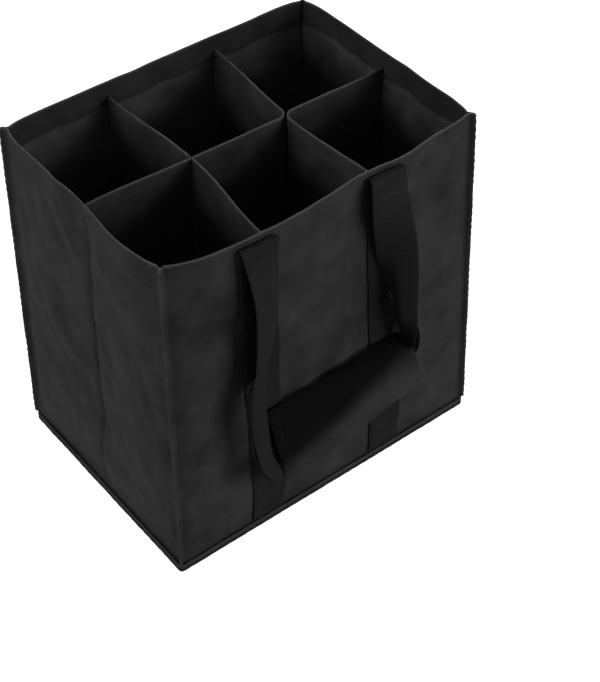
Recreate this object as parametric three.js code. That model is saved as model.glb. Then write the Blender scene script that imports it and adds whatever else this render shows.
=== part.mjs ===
// Six-compartment bottle carrier: a soft fabric box with sewn dividers, two webbing handles and two grips.
// Millimetres. X runs along the row of three bottles, Y from front (-) to back (+), Z up from the ground.
import * as THREE from "three";

// Driving dimensions
const height = 295;
const rimLength = 272;
const rimDepth = 197.2;
const baseLength = 287;
const baseDepth = 208.4;
const fabric = 1.0;
const hemDepth = 22;
const seamReach = 4.5;
const seamHalfWidth = 1.3;
const baseSeamHeight = 7;
const webbingWidth = 30;
const webbingThickness = 1.5;
const dividerDrop = 13;
const dividerHemDepth = 12;
const cornerFoldRadius = 8;
const gripStart = -62;
const gripEnd = 61;
const gripFabric = 1.2;
const gap = 0.35;

// Derived places
const hemStart = height - hemDepth;
const dividerTop = height - dividerDrop;
const dividerHemStart = dividerTop - dividerHemDepth;
const boardThickness = 2.4;
const dividerFoot = boardThickness + 0.4;
const panelFoot = 0.4;
const sideReach = seamReach / Math.SQRT2;
const panelEndInset = 2.3;
const webbingGap = 0.45;
const handleFoldRadius = 2.4;
const handleFoldHeight = 283.5;

const { lerp, smoothstep, degToRad } = THREE.MathUtils;
const up = (z) => z / height;

// The body tapers: the seam tips, and the plane corners that the tips stand out from.
const tipX = (z) => lerp(baseLength, rimLength, up(z)) / 2;
const tipY = (z) => lerp(baseDepth, rimDepth, up(z)) / 2;
const cornerX = (z) => tipX(z) - sideReach;
const cornerY = (z) => tipY(z) - sideReach;

// Swelling of the four panels, measured outward from the plane between two corners.
// Each panel is pinched flat at its seams and at the foot, and is pulled outward most at the rim.
const pinchLength = 8;
const plumpHeight = 45;
const frontCrest = { at: -40, leftHalf: 96, rightHalf: 62, out: 9 };
const frontSecondCrest = { at: 64, half: 26, out: 4.8 };
const leftCrest = { at: -52, half: 34, out: 3.5 };
const gussetFold = { at: -6, half: 25, depth: 2.2, foot: [25, 80], top: [240, 286] };

const bow = (s, middle, half) => Math.max(0, 1 - ((s - middle) / half) ** 2) ** 0.6;
const hump = (s, middle, half) => Math.exp(-(((s - middle) / half) ** 2));
const rimPull = (z) => up(z) ** 1.6;
const plump = (z) => sideReach * smoothstep(z, baseSeamHeight, plumpHeight);

function pinch(s, corner) {
  const fromEnd = corner - panelEndInset - Math.abs(s);
  return 1 - Math.exp(-Math.max(fromEnd, 0) / pinchLength);
}

function gusset(y, z) {
  const { at, half, depth, foot, top } = gussetFold;
  const present = smoothstep(z, ...foot) * (1 - smoothstep(z, ...top));
  return depth * present * Math.exp(-Math.abs(y - at) / half);
}

function frontSwell(x, z) {
  const { at, leftHalf, rightHalf, out } = frontCrest;
  const wide = x < at ? bow(x, at, leftHalf) : hump(x, at, rightHalf);
  const second = frontSecondCrest.out * hump(x, frontSecondCrest.at, frontSecondCrest.half);
  return pinch(x, cornerX(z)) * (plump(z) + rimPull(z) * (out * wide + second));
}

const backSwell = (x, z) => pinch(x, cornerX(z)) * plump(z);

function leftSwell(y, z) {
  const crest = leftCrest.out * hump(y, leftCrest.at, leftCrest.half);
  return pinch(y, cornerY(z)) * (plump(z) + rimPull(z) * crest - gusset(y, z));
}

const rightSwell = (y, z) => pinch(y, cornerY(z)) * (plump(z) - gusset(y, z));

const frontSkin = (x, z) => cornerY(z) + frontSwell(x, z);
const backSkin = (x, z) => cornerY(z) + backSwell(x, z);
const leftSkin = (y, z) => cornerX(z) + leftSwell(y, z);
const rightSkin = (y, z) => cornerX(z) + rightSwell(y, z);
const wall = (z) => (z > hemStart - 2 ? 2 * fabric : fabric);

// Closed bodies from rows of points
function closedBody(points, triangles) {
  let volume = 0;
  for (const [a, b, c] of triangles) {
    volume += points[a].dot(points[b].clone().cross(points[c]));
  }
  const turned = volume < 0 ? triangles.map(([a, b, c]) => [a, c, b]) : triangles;
  const geometry = new THREE.BufferGeometry();
  geometry.setAttribute(
    "position",
    new THREE.Float32BufferAttribute(points.flatMap((p) => [p.x, p.y, p.z]), 3),
  );
  geometry.setIndex(turned.flat());
  geometry.computeVertexNormals();
  return geometry;
}

// A sheet body between two grids of the same rows and columns
function slab(upper, lower) {
  const rows = upper.length;
  const columns = upper[0].length;
  const points = [...upper.flat(), ...lower.flat()];
  const top = (i, j) => i * columns + j;
  const bottom = (i, j) => rows * columns + i * columns + j;
  const triangles = [];
  const quad = (a, b, c, d) => triangles.push([a, b, c], [a, c, d]);
  for (let i = 0; i + 1 < rows; i += 1) {
    for (let j = 0; j + 1 < columns; j += 1) {
      quad(top(i, j), top(i, j + 1), top(i + 1, j + 1), top(i + 1, j));
      quad(bottom(i, j), bottom(i + 1, j), bottom(i + 1, j + 1), bottom(i, j + 1));
    }
    quad(top(i, 0), top(i + 1, 0), bottom(i + 1, 0), bottom(i, 0));
    const last = columns - 1;
    quad(top(i + 1, last), top(i, last), bottom(i, last), bottom(i + 1, last));
  }
  for (let j = 0; j + 1 < columns; j += 1) {
    quad(top(0, j + 1), top(0, j), bottom(0, j), bottom(0, j + 1));
    const last = rows - 1;
    quad(top(last, j), top(last, j + 1), bottom(last, j + 1), bottom(last, j));
  }
  return closedBody(points, triangles);
}

// A body whose section runs round a closed loop
function loop(sections) {
  const count = sections.length;
  const size = sections[0].length;
  const at = (i, j) => (i % count) * size + (j % size);
  const triangles = [];
  for (let i = 0; i < count; i += 1) {
    for (let j = 0; j < size; j += 1) {
      triangles.push([at(i, j), at(i, j + 1), at(i + 1, j + 1)]);
      triangles.push([at(i, j), at(i + 1, j + 1), at(i + 1, j)]);
    }
  }
  return closedBody(sections.flat(), triangles);
}

function part(name, geometry, colour, roughness) {
  const material = new THREE.MeshStandardMaterial({ color: colour, roughness, metalness: 0 });
  const mesh = new THREE.Mesh(geometry, material);
  mesh.name = name;
  return mesh;
}

const fabricBlack = 0x2a2a2b;
const webbingBlack = 0x1d1d1e;
const carrier = new THREE.Group();

// Panels: rows by height, columns closer together beside the corner seams
const panelRows = [
  panelFoot, baseSeamHeight, 20, plumpHeight, 80, 120, 160, 200, 235, 262,
  hemStart - 0.3, hemStart + 0.3, 284, height,
];
const panelColumns = 23;

function panel(name, corner, skin, place) {
  const outer = [];
  const inner = [];
  for (const z of panelRows) {
    const thickness = z > hemStart ? 2 * fabric : fabric;
    const outerRow = [];
    const innerRow = [];
    for (let j = 0; j <= panelColumns; j += 1) {
      const even = (2 * j) / panelColumns - 1;
      const across = 1.25 * even - 0.25 * even ** 3;
      const s = across * (corner(z) - panelEndInset);
      const out = skin(s, z);
      outerRow.push(place(s, out, z));
      innerRow.push(place(across * (corner(z) - panelEndInset - thickness), out - thickness, z));
    }
    outer.push(outerRow);
    inner.push(innerRow);
  }
  carrier.add(part(name, slab(outer, inner), fabricBlack, 0.75));
}

panel("front_panel", cornerX, frontSkin, (s, out, z) => new THREE.Vector3(s, -out, z));
panel("back_panel", cornerX, backSkin, (s, out, z) => new THREE.Vector3(s, out, z));
panel("left_panel", cornerY, leftSkin, (s, out, z) => new THREE.Vector3(-out, s, z));
panel("right_panel", cornerY, rightSkin, (s, out, z) => new THREE.Vector3(out, s, z));

// Stiff base board, with its corners cut clear of the seams
function baseBoard() {
  const x = cornerX(0) - fabric - gap;
  const y = cornerY(0) - fabric - gap;
  const cut = 2.5;
  const outline = new THREE.Shape([
    new THREE.Vector2(-x + cut, -y),
    new THREE.Vector2(x - cut, -y),
    new THREE.Vector2(x, -y + cut),
    new THREE.Vector2(x, y - cut),
    new THREE.Vector2(x - cut, y),
    new THREE.Vector2(-x + cut, y),
    new THREE.Vector2(-x, y - cut),
    new THREE.Vector2(-x, -y + cut),
  ]);
  return new THREE.ExtrudeGeometry(outline, { depth: boardThickness, bevelEnabled: false });
}
carrier.add(part("base_panel", baseBoard(), fabricBlack, 0.75));

// Corner seams: two panel edges stitched together, standing out along the diagonal
function cornerSeam(signX, signY) {
  const inside = -2.6;
  const overSeam = baseSeamHeight + 0.3;
  const stations = [
    [panelFoot, -0.5],
    [overSeam, -0.5],
    [overSeam + 1.2, seamReach],
    [90, seamReach],
    [190, seamReach],
    [height - 1.5, seamReach],
    [height + 0.4, seamReach - 1],
  ];
  const shape = [[0, 1], [0.4, 1], [0.87, 1], [1, 0.45]];
  const side = (turn) => stations.map(([z, tip]) => shape.map(([along, wide]) => {
    const d = lerp(inside, tip, along) / Math.SQRT2;
    const p = (turn * wide * seamHalfWidth) / Math.SQRT2;
    return new THREE.Vector3(signX * (cornerX(z) + d + p), signY * (cornerY(z) + d - p), z);
  }));
  return slab(side(1), side(-1));
}
for (const [name, signX, signY] of [
  ["corner_seam_front_left", -1, -1],
  ["corner_seam_front_right", 1, -1],
  ["corner_seam_back_left", -1, 1],
  ["corner_seam_back_right", 1, 1],
]) {
  carrier.add(part(name, cornerSeam(signX, signY), fabricBlack, 0.75));
}

// Base seam: a folded band round the foot, with a groove where its stitching pulls in
function baseSeam() {
  const cornerRadius = 1;
  const profile = [
    [0, 0], [1.6, 0], [2.2, 0.9], [2.2, 2.6], [1.6, 3.5], [2.2, 4.4], [2.1, 6.2], [1.4, 7], [0, 7],
  ];
  const sections = [];
  const corners = [[1, 1], [-1, 1], [-1, -1], [1, -1]];
  corners.forEach(([signX, signY], quarter) => {
    for (let step = 0; step <= 4; step += 1) {
      const angle = (quarter + step / 4) * (Math.PI / 2);
      const x = signX * (cornerX(0) + gap - cornerRadius);
      const y = signY * (cornerY(0) + gap - cornerRadius);
      sections.push(profile.map(([out, z]) => new THREE.Vector3(
        x + (cornerRadius + out) * Math.cos(angle),
        y + (cornerRadius + out) * Math.sin(angle),
        z,
      )));
    }
  });
  return loop(sections);
}
carrier.add(part("base_seam", baseSeam(), fabricBlack, 0.75));

// Dividers: plan routes that lean from an even grid at the foot to the shown places at the top
const dividerRows = [
  dividerFoot, 45, 100, 160, 210, 250, dividerHemStart - 0.3, dividerHemStart + 0.3, 276, dividerTop,
];
const wallGap = 0.8;
const crossing = (z) => new THREE.Vector2(lerp(-46.5, -41, up(z)), lerp(0, -1, up(z)));
const meeting = (z) => new THREE.Vector2(lerp(46.5, 41, up(z)), lerp(0, -0.5, up(z)));

function ease(from, to, count, skipFirst) {
  const points = [];
  for (let i = skipFirst ? 1 : 0; i <= count; i += 1) {
    const t = i / count;
    const k = smoothstep(t, 0, 1);
    const alongX = Math.abs(to.x - from.x) > Math.abs(to.y - from.y);
    points.push(new THREE.Vector2(
      lerp(from.x, to.x, alongX ? t : k),
      lerp(from.y, to.y, alongX ? k : t),
    ));
  }
  return points;
}

// One strip runs along the long row, turns in a small arc and runs on to a long panel.
function turningRoute(start, end, middle, side) {
  const away = side * Math.SQRT1_2;
  const offset = cornerFoldRadius + fabric + gap;
  const centre = new THREE.Vector2(middle.x - away * offset, middle.y + away * offset);
  const arc = [];
  const arcSteps = 6;
  for (let i = 0; i <= arcSteps; i += 1) {
    const angle = -Math.PI / 2 + (i / arcSteps) * (Math.PI / 2);
    arc.push(new THREE.Vector2(
      centre.x + side * cornerFoldRadius * Math.cos(angle),
      centre.y + side * cornerFoldRadius * Math.sin(angle),
    ));
  }
  const before = ease(start, arc[0], 9, false).slice(0, -1);
  return [...before, ...arc, ...ease(arc[arcSteps], end, 6, true)];
}

function leftRoute(z) {
  const y = lerp(0, 3, up(z));
  const start = new THREE.Vector2(-(leftSkin(y, z) - wall(z) - wallGap), y);
  const x = lerp(47, 50, up(z));
  const end = new THREE.Vector2(x, backSkin(x, z) - wall(z) - wallGap);
  return turningRoute(start, end, meeting(z), 1);
}

function rightRoute(z) {
  const y = lerp(0, 0.5, up(z));
  const start = new THREE.Vector2(rightSkin(y, z) - wall(z) - wallGap, y);
  const x = lerp(46.5, 44.5, up(z));
  const end = new THREE.Vector2(x, -(frontSkin(x, z) - wall(z) - wallGap));
  return turningRoute(start, end, meeting(z), -1);
}

function crossRoute(z, side, endX, skin) {
  const middle = crossing(z);
  const along = leftRoute(z);
  const after = along.findIndex((p) => p.x > middle.x);
  const t = (middle.x - along[after - 1].x) / (along[after].x - along[after - 1].x);
  const stripY = lerp(along[after - 1].y, along[after].y, t);
  const start = new THREE.Vector2(middle.x, stripY + side * (fabric + gap + 0.15));
  const end = new THREE.Vector2(endX, side * (skin(endX, z) - wall(z) - wallGap));
  return ease(start, end, 8, false);
}

function divider(name, route) {
  const faces = [1, -1].map((face) => dividerRows.map((z) => {
    const half = (z > dividerHemStart ? 2 * fabric : fabric) / 2;
    const plan = route(z);
    return plan.map((p, i) => {
      const ahead = plan[Math.min(i + 1, plan.length - 1)];
      const behind = plan[Math.max(i - 1, 0)];
      const run = ahead.clone().sub(behind).normalize();
      return new THREE.Vector3(p.x - face * half * run.y, p.y + face * half * run.x, z);
    });
  }));
  carrier.add(part(name, slab(faces[0], faces[1]), fabricBlack, 0.75));
}

divider("divider_left_to_back", leftRoute);
divider("divider_right_to_front", rightRoute);
divider("cross_divider_back", (z) => crossRoute(z, 1, lerp(-47, -46, up(z)), backSkin));
divider("cross_divider_front", (z) => crossRoute(z, -1, lerp(-47, -53, up(z)), frontSkin));

// Handles, worked out in a flat frame: x along the panel, "out" from the line of seam tips, z up.
// The same frame turned half round makes the back handle.
const local = (x, out, z) => new THREE.Vector3(x, out, z);
const toFront = (p) => new THREE.Vector3(p.x, -(tipY(p.z) + p.y), p.z);
const toBack = (p) => new THREE.Vector3(-p.x, tipY(p.z) + p.y, p.z);

// The grip sleeve: its upper edge lies by the panel and its lower edge hangs out, more so at the right.
const gripPlace = (x) => (x - gripStart) / (gripEnd - gripStart);
const gripUpper = (x) => local(x, lerp(7.5, 6, gripPlace(x)), lerp(128, 134, gripPlace(x)));
const gripLower = (x) => local(x, lerp(30, 40, gripPlace(x)), lerp(68, 112, gripPlace(x)));
const gripDown = (x) => gripLower(x).sub(gripUpper(x)).normalize();
const foldedPlace = (x) => lerp(0.62, 0.2, gripPlace(x));
const foldedEdge = (x) => gripUpper(x).lerp(gripLower(x), foldedPlace(x));

// Free run of the webbing from the left top fold, through the grip, to the right top fold.
// Each stop holds the webbing's middle line, the way its inner face looks, and how far it is folded in half.
function freeRun(skinOut) {
  const gripStops = [0.12, 0.32, 0.52, 0.72, 0.9].map((t) => {
    const x = lerp(gripStart, gripEnd, t);
    return [foldedEdge(x), gripDown(x), 84];
  });
  const leftTop = leftStrap(handleFoldHeight);
  const rightTop = rightStrap(handleFoldHeight);
  const hang = 2 * handleFoldRadius;
  return [
    [local(leftTop, skinOut(leftTop, handleFoldHeight) + hang, handleFoldHeight), local(0, -1, 0), 0],
    [local(-66, 14.8, 268), local(0, -1, 0), 0],
    [local(-66, 15.8, 250), local(-0.2, -0.98, 0), 0],
    [local(-66, 17, 230), local(-0.39, -0.92, 0), 2],
    [local(-67, 18, 208), local(-0.39, -0.92, 0), 4],
    [local(-68.5, 18.5, 187), local(-0.42, -0.9, 0), 10],
    [local(-71, 20, 169), local(-0.62, -0.78, 0), 25],
    [local(-74, 21.5, 153), local(-0.85, -0.5, 0), 45],
    [local(-74, 22.5, 136), local(-0.97, -0.1, 0), 62],
    [local(-73, 23, 119), local(-0.95, 0.1, -0.2), 74],
    [local(-71, 23.3, 103), local(-0.85, 0.15, -0.5), 80],
    [local(-67.5, 22.8, 93.5), local(-0.5, 0.25, -0.83), 82],
    [foldedEdge(gripStart), local(-0.06, 0.36, -0.93), 84],
    ...gripStops,
    [foldedEdge(gripEnd), local(0.1, 0.86, -0.5), 83],
    [local(64, 11.5, 131.5), local(0.5, 0.78, -0.35), 80],
    [local(63.5, 11.5, 139), local(0.65, 0.75, -0.08), 73],
    [local(60, 13, 149), local(0.75, 0.66, 0), 62],
    [local(54.5, 16, 161), local(0.93, 0.35, 0), 46],
    [local(50.3, 19, 176), local(0.97, -0.12, 0), 28],
    [local(49.3, 19.5, 196), local(0.8, -0.6, 0), 12],
    [local(50, 17.5, 215), local(0.62, -0.78, 0), 4],
    [local(49.5, 15.5, 235), local(0.45, -0.89, 0), 0],
    [local(48, 13.5, 255), local(0.25, -0.97, 0), 0],
    [local(47.5, 12, 270), local(0.05, -1, 0), 0],
    [local(rightTop, skinOut(rightTop, handleFoldHeight) + hang, handleFoldHeight), local(0, -1, 0), 0],
  ];
}

// The sewn runs lie on the panel, from the base seam up to the fold under the rim.
const leftStrap = (z) => lerp(-58, -66, up(z));
const rightStrap = (z) => lerp(57, 47, up(z));
const strapRows = [baseSeamHeight + 0.7, 20, plumpHeight, 80, 120, 160, 200, 235, 262, handleFoldHeight];
const acrossSteps = [-1, -0.5, 0, 0.5, 1];

function sewnRow(x, z, side, skinOut, angle) {
  return acrossSteps.map((a) => {
    const column = x + side * a * (webbingWidth / 2);
    const out = skinOut(column, z) + handleFoldRadius * (1 - Math.cos(angle));
    return {
      middle: local(column, out, z + handleFoldRadius * Math.sin(angle)),
      facing: local(0, Math.cos(angle), -Math.sin(angle)),
    };
  });
}

function foldedRow(middle, facing, run, bend) {
  const across = run.clone().cross(facing).normalize();
  const face = across.clone().cross(run).normalize();
  const angle = degToRad(bend);
  return acrossSteps.map((a) => {
    const turn = Math.sign(a);
    const way = across.clone().multiplyScalar(turn * Math.cos(angle));
    way.addScaledVector(face, Math.sin(angle));
    const normal = face.clone().multiplyScalar(a === 0 ? 1 : Math.cos(angle));
    normal.addScaledVector(across, -turn * Math.sin(angle));
    return {
      middle: middle.clone().addScaledVector(way, Math.abs(a) * (webbingWidth / 2)),
      facing: normal.normalize(),
    };
  });
}

function webbingRows(skin) {
  const half = webbingThickness / 2;
  const skinOut = (x, z) => skin(x, z) - tipY(z) + webbingGap + half;
  const rows = strapRows.map((z) => sewnRow(leftStrap(z), z, -1, skinOut, 0));
  const foldAngles = [0.25, 0.5, 0.75, 1].map((t) => t * Math.PI);
  for (const angle of foldAngles) {
    rows.push(sewnRow(leftStrap(handleFoldHeight), handleFoldHeight, -1, skinOut, angle));
  }
  const stops = freeRun(skinOut);
  const line = new THREE.CatmullRomCurve3(stops.map(([middle]) => middle), false, "centripetal");
  const facings = new THREE.CatmullRomCurve3(stops.map(([, facing]) => facing), false, "centripetal");
  const last = stops.length - 1;
  const perStop = 2;
  for (let i = 1; i < last * perStop; i += 1) {
    const t = i / (last * perStop);
    const before = Math.floor(t * last);
    const bend = lerp(stops[before][2], stops[before + 1][2], t * last - before);
    rows.push(foldedRow(line.getPoint(t), facings.getPoint(t), line.getTangent(t), bend));
  }
  for (const angle of [...foldAngles].reverse()) {
    rows.push(sewnRow(rightStrap(handleFoldHeight), handleFoldHeight, 1, skinOut, angle));
  }
  for (const z of [...strapRows].reverse()) {
    rows.push(sewnRow(rightStrap(z), z, 1, skinOut, 0));
  }
  return rows;
}

function webbing(name, skin, place) {
  const rows = webbingRows(skin);
  const face = (side) => rows.map((row) => row.map(({ middle, facing }) => (
    place(middle.clone().addScaledVector(facing, (side * webbingThickness) / 2))
  )));
  carrier.add(part(name, slab(face(1), face(-1)), webbingBlack, 0.8));
}

webbing("front_webbing", frontSkin, toFront);
webbing("back_webbing", (x, z) => backSkin(-x, z), toBack);

// Grip: a flattened sleeve of fabric, fuller in the middle than at its two long edges
const sleeveSteps = 18;
const sleeveEdgePower = 2.6;
const sleeveFullness = 0.62;
const sleeveCrowding = 0.85;

function gripSection(x, inset) {
  const upper = gripUpper(x);
  const lower = gripLower(x);
  const down = gripDown(x);
  const proud = local(1, 0, 0).cross(down).normalize();
  const half = upper.distanceTo(lower) / 2 - inset;
  const thick = lerp(6, 8, gripPlace(x)) - inset;
  const centre = upper.clone().lerp(lower, 0.5);
  return Array.from({ length: sleeveSteps }, (_, i) => {
    const angle = (i / sleeveSteps) * 2 * Math.PI;
    const across = Math.sign(Math.cos(angle)) * Math.abs(Math.cos(angle)) ** sleeveCrowding;
    const full = (1 - Math.abs(across) ** sleeveEdgePower) ** sleeveFullness;
    const atEdge = i % (sleeveSteps / 2) === 0;
    const rise = atEdge ? 0 : thick * Math.sign(Math.sin(angle)) * full;
    return centre.clone().addScaledVector(down, half * across).addScaledVector(proud, rise);
  });
}

function grip(name, place) {
  const stations = 9;
  const rings = [0, gripFabric].map((inset) => Array.from({ length: stations + 1 }, (_, i) => (
    gripSection(lerp(gripStart, gripEnd, i / stations), inset).map(place)
  )));
  const sections = rings[0][0].map((_, j) => [
    ...rings[0].map((ring) => ring[j]),
    ...[...rings[1]].reverse().map((ring) => ring[j]),
  ]);
  carrier.add(part(name, loop(sections), fabricBlack, 0.75));
}

grip("front_grip", toFront);
grip("back_grip", toBack);

export default carrier;
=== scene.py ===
# %% [markdown]
# # A black carrier bag for six bottles
#
# This is a lesson in dressing a measured model. The frame that is loaded here gives the
# bag's plain solids in metres. Every piece below is made around them, in the same place,
# as the sewn thing that it really is: walls that are one lofted shell of cloth, dividers
# with turned hems, ribbed webbing, sleeves round the handles, and the thread itself.
#
# Lengths are named in millimetres, as a bag maker would write them, and they are turned
# into Blender's metres in one place, where a mesh is made.

import math

import bpy
import numpy as np
from mathutils import Matrix, Vector


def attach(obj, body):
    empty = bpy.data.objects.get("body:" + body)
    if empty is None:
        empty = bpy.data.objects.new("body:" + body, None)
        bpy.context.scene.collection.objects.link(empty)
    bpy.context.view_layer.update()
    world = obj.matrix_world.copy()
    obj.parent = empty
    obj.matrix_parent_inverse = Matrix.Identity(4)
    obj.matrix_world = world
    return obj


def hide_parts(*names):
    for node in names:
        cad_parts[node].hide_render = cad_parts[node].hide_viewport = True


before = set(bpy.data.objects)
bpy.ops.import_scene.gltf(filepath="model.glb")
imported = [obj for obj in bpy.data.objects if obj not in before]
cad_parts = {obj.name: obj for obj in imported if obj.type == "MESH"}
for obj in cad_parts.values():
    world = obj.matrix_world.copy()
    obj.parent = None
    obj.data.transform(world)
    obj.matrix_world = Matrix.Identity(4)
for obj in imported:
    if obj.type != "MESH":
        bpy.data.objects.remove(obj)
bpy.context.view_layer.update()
MM = 0.001

# %% [markdown]
# ## The camera
#
# The view looks down on the bag from its left front corner. The lens and the place were
# worked out from the bag's own corners: with the rim and the foot of a box in one picture,
# one place of the camera comes nearest to putting all of them where they are seen. A long
# lens of 85 mm keeps the upright edges almost parallel, as they are in a product picture.

# %% Set up the camera
camera_turn = math.radians(-37.78)
camera_rise = math.radians(43.96)
camera_roll = math.radians(-0.56)
camera_place = Vector((-0.5291, -0.7507, 0.9638))
camera_lens = 84.56

backward = Vector((
    math.sin(camera_turn) * math.cos(camera_rise),
    -math.cos(camera_turn) * math.cos(camera_rise),
    math.sin(camera_rise),
))
level = Vector((math.cos(camera_turn), math.sin(camera_turn), 0))
upright = backward.cross(level)
sideways = math.cos(camera_roll) * level + math.sin(camera_roll) * upright
overhead = math.cos(camera_roll) * upright - math.sin(camera_roll) * level

camera = bpy.data.objects.new("camera", bpy.data.cameras.new("camera"))
camera.data.lens = camera_lens
camera.matrix_world = Matrix.Translation(camera_place) @ Matrix(
    (sideways, overhead, backward)
).transposed().to_4x4()
bpy.context.scene.collection.objects.link(camera)
bpy.context.scene.camera = camera
print("camera at", [round(v, 3) for v in camera_place], "lens", camera_lens, "mm")

# %% [markdown]
# ## Words for shaders
#
# A finish is easier to read as sums than as a web of nodes. `Signal` wraps the output of a
# node, so that `weave * 0.5` or `0.5 + cloud` adds the Math node that does it. `Finish`
# holds one material. Its `node` method makes any other node: first its settings, then what
# its sockets take, which may be a number or a signal. The methods after it make the kinds
# that come back in every finish. Values that are the same all over are set on the shader's
# own sockets.


# %% A value that changes over a surface
class Signal:
    """The output of a node, with Python's own operators."""

    def __init__(self, finish, socket):
        self.finish = finish
        self.socket = socket

    def maths(self, operation, *others, clamp=False):
        settings = {"operation": operation, "use_clamp": clamp}
        return self.finish.node("Math", settings, dict(enumerate((self, *others))))

    def __add__(self, other):
        return self.maths("ADD", other)

    def __mul__(self, other):
        return self.maths("MULTIPLY", other)

    def __sub__(self, other):
        return self.maths("SUBTRACT", other)

    __radd__ = __add__

    def sine(self):
        return self.maths("SINE")

    def size(self):
        return self.maths("ABSOLUTE")

    def clamped(self):
        return self.maths("ADD", 0, clamp=True)


# %% A material
class Finish:
    """One material: its shader's constant values, and the nodes that feed it."""

    def __init__(self, name, constants):
        self.material = bpy.data.materials.new(name)
        self.material.use_nodes = True
        self.tree = self.material.node_tree
        self.shader = self.tree.nodes["Principled BSDF"]
        for socket, value in constants.items():
            self.shader.inputs[socket].default_value = value

    def feed(self, socket, value):
        if isinstance(value, Signal):
            self.tree.links.new(value.socket, socket)
        else:
            socket.default_value = value

    def node(self, kind, settings, sockets, output=0):
        made = self.tree.nodes.new("ShaderNode" + kind)
        for key, value in settings.items():
            setattr(made, key, value)
        by_identifier = {socket.identifier: socket for socket in made.inputs}
        for key, value in sockets.items():
            self.feed(by_identifier[key] if key in by_identifier else made.inputs[key], value)
        return Signal(self, made.outputs[output])

    def place(self):
        """The place of each point in the object, in metres."""
        return self.node("TexCoord", {}, {}, output="Object")

    def cloth_map(self):
        """The measured map of the cloth, and its two directions in metres."""
        cloth = self.node("UVMap", {"uv_map": "cloth"}, {})
        along = self.node("SeparateXYZ", {}, {"Vector": cloth}, output="X")
        across = self.node("SeparateXYZ", {}, {"Vector": cloth}, output="Y")
        return cloth, along, across

    def mark(self, name):
        """A value that the mesh stores at its points."""
        return self.node("Attribute", {"attribute_name": name}, {}, output="Fac")

    def noise(self, place, scale, detail=2):
        sockets = {"Vector": place, "Scale": scale, "Detail": detail}
        return self.node("TexNoise", {}, sockets, output="Fac")

    def bump(self, height, strength, distance):
        sockets = {"Height": height, "Strength": strength, "Distance": distance * MM}
        return self.node("Bump", {}, sockets)

    def blend(self, share, first, second):
        sockets = {"Factor_Float": share, "A_Color": first, "B_Color": second}
        return self.node("Mix", {"data_type": "RGBA"}, sockets, output=2)

    def surface(self, **feeds):
        for socket, value in feeds.items():
            self.feed(self.shader.inputs[socket.replace("_", " ")], value)
        print("finish made:", self.material.name, "with", len(self.tree.nodes), "nodes")
        return self.material


# %% [markdown]
# ## The black cloth
#
# The bag is cut from a thin, closely woven polyester. From a pace away it is an even soft
# black with a low sheen. Nearer, the threads cross in a plain weave and the dye is a little
# cloudy. Every turned edge is painted lighter, a painted highlight where it catches the light.
# The weave follows the cloth's own measured directions, which each mesh carries as its
# `cloth` map in metres, so the threads are the same size on every piece.
#
# Three marks are stored at the points of a mesh. The first is 1 where the cloth turns over
# an edge, and says where the painted highlight goes. The second is 1 on the inside faces of
# the walls below the hem, and a little on the dividers: they are painted paler, as painted
# light for the light the compartments do not get, and the hem left out looks like a darker
# band. The third says how far the colour is painted darker: painted shade on the grips'
# upper sides, on the webbing beside the grip, in the groove and at the bottom of the foot
# band, and a plain darkening on the inside of the hem.


# %% Woven cloth
# The inside faces are painted paler by this factor, as painted light; the dark mark takes the
# colour down to this share of the darkest dye.
inside_painted_paler = 1.7
handled_darker = 0.2
slub_scale = (30, 900, 1)


def grey(value):
    """Black dye is very slightly cool."""
    return (value, value, 1.02 * value, 1)


def woven_cloth(name, dark, light, highlight_grey, thread_pitch, shine):
    finish = Finish(name, {
        "IOR": 1.45,
        "Specular IOR Level": shine,
        "Sheen Weight": 0.05,
        "Sheen Roughness": 0.4,
    })
    cloth, along, across = finish.cloth_map()
    threads = math.pi / (thread_pitch * MM)
    weave = (along * threads).sine() * (across * threads).sine()

    place = finish.place()
    broad = finish.noise(place, 19)
    cloud = finish.noise(place, 45, detail=4)
    grain = finish.noise(place, 900)
    stretched = finish.node("VectorMath", {"operation": "MULTIPLY"}, {0: cloth, 1: slub_scale})
    slub = finish.noise(stretched, 1)
    fold, inner, handled = (finish.mark(mark) for mark in ("fold", "inner", "handled"))

    patches = broad * 1.3 + cloud * 2.1
    dye = (patches + grain * 0.3 + slub * 0.4 + weave * 0.06 - 1.55).clamped()
    right_side = finish.blend(dye, grey(dark), grey(light))
    # Painted light: the inside faces get a paler copy of the cloth.
    painted_lit_inside = finish.blend(dye, grey(inside_painted_paler * dark), grey(inside_painted_paler * light))
    colour = finish.blend(inner, right_side, painted_lit_inside)
    # Painted shade where the dark mark is set, and inside the hem a plain darkening.
    colour = finish.blend(handled, colour, grey(handled_darker * dark))
    # Painted highlight on turned edges, patchy with the cloud.
    highlight_share = (fold * (0.5 + cloud)).clamped()
    colour = finish.blend(highlight_share, colour, grey(highlight_grey))
    relief_of_threads = weave * 0.5 + slub * 0.6 + grain * 0.5
    return finish.surface(
        Base_Color=colour,
        Roughness=0.42 + cloud * 0.12 + handled * 0.35,
        Normal=finish.bump(relief_of_threads, strength=0.3, distance=0.12),
    )


bag_cloth = woven_cloth(
    "black woven cloth", dark=0.020, light=0.040, highlight_grey=0.072, thread_pitch=0.5, shine=0.14,
)
sleeve_cloth = woven_cloth(
    "black sleeve cloth", dark=0.022, light=0.042, highlight_grey=0.07, thread_pitch=0.45, shine=0.05,
)

# %% [markdown]
# ## The webbing
#
# Webbing is woven much more coarsely than the cloth: thick weft cords run straight across
# it and make ribs that can be felt with a nail. The ribs themselves are part of the mesh.
# The finish adds what is smaller: the warp threads, which pass over and under the cords in
# columns a little over a millimetre wide, and painted shade in the gaps between ribs with
# painted light on their crests, strong in some stretches and faint in others. On the leg
# beside the grip the webbing is painted almost black, as painted shade.

# %% Ribbed webbing
rib_pitch = 3.8
warp_column = 1.25
mean_rib = 0.64
strap_dark, strap_light = grey(0.004), grey(0.024)

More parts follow.
